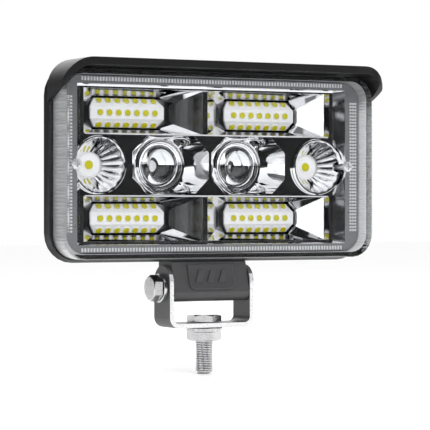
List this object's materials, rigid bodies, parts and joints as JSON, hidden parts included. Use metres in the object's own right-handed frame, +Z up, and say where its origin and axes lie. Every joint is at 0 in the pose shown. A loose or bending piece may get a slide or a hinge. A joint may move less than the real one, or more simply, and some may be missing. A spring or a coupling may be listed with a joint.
{
  "type": "fog light",
  "caption": "Rectangular LED fog light with a visor, clear lens, chrome reflector and a tilting, swivelling U bracket on a threaded stud.",
  "frame": {"origin": "on the mounting bolt's axis, at the underside of the bracket's base", "axes": "+Z up along the mounting bolt, +X to the light's left as it faces a viewer standing in front (the right of the view), -Y the way the light shines"},
  "size_m": [0.155, 0.0607, 0.1332],
  "materials": {
    "black_paint": "satin powder coat",
    "black_plastic": "fine moulded grain",
    "clear_lens": "polished clear moulding",
    "black_rubber": "matt",
    "chrome": "vacuum-metallised mirror",
    "aluminium": "as machined",
    "white_board": "white solder mask",
    "phosphor": "yellow phosphor",
    "optic_glass": "polished dome",
    "circuit_board": "green solder mask",
    "bright_steel": "bright zinc",
    "nickel_brass": "satin",
    "coated_steel": "dark grey coat"
  },
  "bodies": {
    "stud": {"mount_bolt": "bright_steel", "mount_washer": "bright_steel", "mount_nut": "bright_steel"},
    "bracket": {"u_bracket": "coated_steel"},
    "head": {"housing": "black_paint", "foot_block": "black_paint", "visor": "black_plastic", "lens_cover": "clear_lens", "lens_gasket": "black_rubber", "reflector": "chrome", "led_carrier_upper": "aluminium", "led_board_upper_left": "white_board", "led_board_upper_right": "white_board", "led_carrier_lower": "aluminium", "led_board_lower_left": "white_board", "led_board_lower_right": "white_board", "core_plate": "aluminium", "driver_board": "circuit_board", "cup_reflector_left": "chrome", "cup_led_left": "white_board", "projector_lens_left": "optic_glass", "projector_ring_left": "chrome", "projector_led_left": "phosphor", "reflector_screw_left": "bright_steel", "cup_reflector_right": "chrome", "cup_led_right": "white_board", "projector_lens_right": "optic_glass", "projector_ring_right": "chrome", "projector_led_right": "phosphor", "reflector_screw_right": "bright_steel", "cable_gland": "nickel_brass", "breather_plug": "black_rubber", "pivot_bolt": "bright_steel", "pivot_washer": "bright_steel", "pivot_pin": "bright_steel"}
  },
  "joints": [
    {"name": "bracket_swivel", "type": "hinge", "parent": "stud", "child": "bracket", "pos_m": [0, 0, 0], "axis": [0, 0, 1], "continuous": true},
    {"name": "head_tilt", "type": "hinge", "parent": "bracket", "child": "head", "pos_m": [0, 0, 0.0171], "axis": [1, 0, 0], "range_deg": [-60, 60]}
  ]
}
